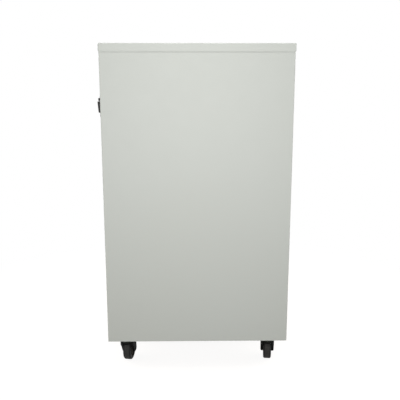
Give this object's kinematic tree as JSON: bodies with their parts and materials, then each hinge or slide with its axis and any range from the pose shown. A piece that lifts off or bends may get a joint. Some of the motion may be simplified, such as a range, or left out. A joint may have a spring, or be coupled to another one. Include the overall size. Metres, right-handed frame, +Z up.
{
  "type": "lithium iron phosphate battery cabinet",
  "caption": "Pale grey sheet-steel battery cabinet on swivel casters, with a flat top cover, an inset front door with a paddle lock, and rack-mounted battery modules inside.",
  "frame": {"origin": "on the floor, under the middle of the cabinet", "axes": "+Z up, the door faces -Y, the lock side is +X, the hinge side is -X"},
  "size_m": [0.603, 0.6245, 1.071],
  "materials": {
    "cabinet_paint": "fine textured powder coat, semi-matt",
    "zinc_steel": "zinc plated, satin",
    "module_paint": "fine textured powder coat, matt",
    "bright_steel": "nickel plated",
    "black_lock": "black, satin",
    "chrome_barrel": "dark chrome",
    "black_plastic": "moulded, matt",
    "caster_steel": "black, satin",
    "wheel_rubber": "solid, matt",
    "red_plastic": "moulded, matt",
    "red_jacket": "cable jacket",
    "black_jacket": "cable jacket",
    "copper": "tinned or bare copper bar",
    "cell_aluminium": "blue film over aluminium",
    "circuit_board": "green solder mask",
    "buffer_rubber": "soft, matt",
    "breaker_plastic": "moulded, matt"
  },
  "bodies": {
    "cabinet": {"base_frame": "cabinet_paint", "top_frame": "cabinet_paint", "corner_posts": "zinc_steel", "side_panel_right": "cabinet_paint", "side_panel_left": "cabinet_paint", "top_cover": "cabinet_paint", "rear_panel": "cabinet_paint", "gland_plate": "cabinet_paint", "cable_glands": "black_plastic", "hinge_bushings": "zinc_steel", "door_buffers": "buffer_rubber", "rack_rails": "zinc_steel", "support_runners": "zinc_steel", "battery_lids": "module_paint", "battery_front_panels": "module_paint", "battery_handles": "black_lock", "battery_cells": "cell_aluminium", "bms_boards": "circuit_board", "data_ports": "black_plastic", "distribution_chassis": "module_paint", "main_breaker_body": "breaker_plastic", "distribution_busbars": "copper", "cable_lugs": "bright_steel", "link_cables_positive": "red_jacket", "link_cables_negative": "black_jacket", "terminal_blocks_positive": "red_plastic", "terminal_blocks_negative": "black_plastic", "terminal_studs": "bright_steel", "cell_busbars": "copper", "fixing_screws": "bright_steel", "caster_stems": "zinc_steel", "caster_nuts": "zinc_steel", "battery_1_case": "module_paint", "battery_2_case": "module_paint", "battery_3_case": "module_paint", "battery_4_case": "module_paint"},
    "door": {"door_leaf": "cabinet_paint", "door_stiffener": "zinc_steel", "door_hinge_pins": "zinc_steel", "lock_housing": "black_lock"},
    "lock_rotor": {"lock_rotor": "black_lock", "lock_cam": "zinc_steel"},
    "lock_paddle": {"lock_paddle": "black_lock"},
    "lock_button": {"lock_button": "chrome_barrel"},
    "main_breaker_toggle": {"main_breaker_toggle": "black_plastic"},
    "caster_1_fork": {"caster_fork_1": "caster_steel"},
    "caster_1_wheel": {"caster_wheel_1": "wheel_rubber"},
    "battery_1_power_button": {"battery_1_power_button": "black_plastic"},
    "caster_2_fork": {"caster_fork_2": "caster_steel"},
    "caster_2_wheel": {"caster_wheel_2": "wheel_rubber"},
    "battery_2_power_button": {"battery_2_power_button": "black_plastic"},
    "caster_3_fork": {"caster_fork_3": "caster_steel"},
    "caster_3_wheel": {"caster_wheel_3": "wheel_rubber"},
    "battery_3_power_button": {"battery_3_power_button": "black_plastic"},
    "caster_4_fork": {"caster_fork_4": "caster_steel"},
    "caster_4_wheel": {"caster_wheel_4": "wheel_rubber"},
    "battery_4_power_button": {"battery_4_power_button": "black_plastic"}
  },
  "joints": [
    {"name": "door_hinge", "type": "hinge", "parent": "cabinet", "child": "door", "pos_m": [-0.266, -0.294, 0.593], "axis": [0, 0, -1], "range_deg": [0, 105]},
    {"name": "lock_rotor_turn", "type": "hinge", "parent": "door", "child": "lock_rotor", "pos_m": [0.248, -0.306, 0.862], "axis": [0, -1, 0], "range_deg": [0, 90]},
    {"name": "lock_paddle_pop", "type": "hinge", "parent": "lock_rotor", "child": "lock_paddle", "pos_m": [0.248, -0.3091, 0.862], "axis": [1, 0, 0], "range_deg": [0, 38]},
    {"name": "lock_button_push", "type": "slide", "parent": "door", "child": "lock_button", "axis": [0, 1, 0], "range_m": [0, 0.0025], "stiffness_N_per_m": 600},
    {"name": "main_breaker_throw", "type": "hinge", "parent": "cabinet", "child": "main_breaker_toggle", "pos_m": [0, -0.2175, 0.92065], "axis": [0, 0, 1], "range_deg": [0, 70]},
    {"name": "caster_1_swivel", "type": "hinge", "parent": "cabinet", "child": "caster_1_fork", "pos_m": [0.245, -0.243, 0.09], "axis": [0, 0, 1], "continuous": true},
    {"name": "caster_1_spin", "type": "hinge", "parent": "caster_1_fork", "child": "caster_1_wheel", "pos_m": [0.22038, -0.23866, 0.0375], "axis": [-0.1736, -0.9848, 0], "continuous": true},
    {"name": "caster_2_swivel", "type": "hinge", "parent": "cabinet", "child": "caster_2_fork", "pos_m": [0.245, 0.243, 0.09], "axis": [0, 0, 1], "continuous": true},
    {"name": "caster_2_spin", "type": "hinge", "parent": "caster_2_fork", "child": "caster_2_wheel", "pos_m": [0.22014, 0.24561, 0.0375], "axis": [-0.1045, -0.9945, 0], "continuous": true},
    {"name": "caster_3_swivel", "type": "hinge", "parent": "cabinet", "child": "caster_3_fork", "pos_m": [-0.245, 0.243, 0.09], "axis": [0, 0, 1], "continuous": true},
    {"name": "caster_3_spin", "type": "hinge", "parent": "caster_3_fork", "child": "caster_3_wheel", "pos_m": [-0.22014, 0.24039, 0.0375], "axis": [0.1045, 0.9945, 0], "continuous": true},
    {"name": "caster_4_swivel", "type": "hinge", "parent": "cabinet", "child": "caster_4_fork", "pos_m": [-0.245, -0.243, 0.09], "axis": [0, 0, 1], "continuous": true},
    {"name": "caster_4_spin", "type": "hinge", "parent": "caster_4_fork", "child": "caster_4_wheel", "pos_m": [-0.22038, -0.24734, 0.0375], "axis": [0.1736, 0.9848, 0], "continuous": true},
    {"name": "battery_1_power_push", "type": "slide", "parent": "cabinet", "child": "battery_1_power_button", "axis": [0, 1, 0], "range_m": [0, 0.002], "stiffness_N_per_m": 500},
    {"name": "battery_2_power_push", "type": "slide", "parent": "cabinet", "child": "battery_2_power_button", "axis": [0, 1, 0], "range_m": [0, 0.002], "stiffness_N_per_m": 500},
    {"name": "battery_3_power_push", "type": "slide", "parent": "cabinet", "child": "battery_3_power_button", "axis": [0, 1, 0], "range_m": [0, 0.002], "stiffness_N_per_m": 500},
    {"name": "battery_4_power_push", "type": "slide", "parent": "cabinet", "child": "battery_4_power_button", "axis": [0, 1, 0], "range_m": [0, 0.002], "stiffness_N_per_m": 500}
  ]
}
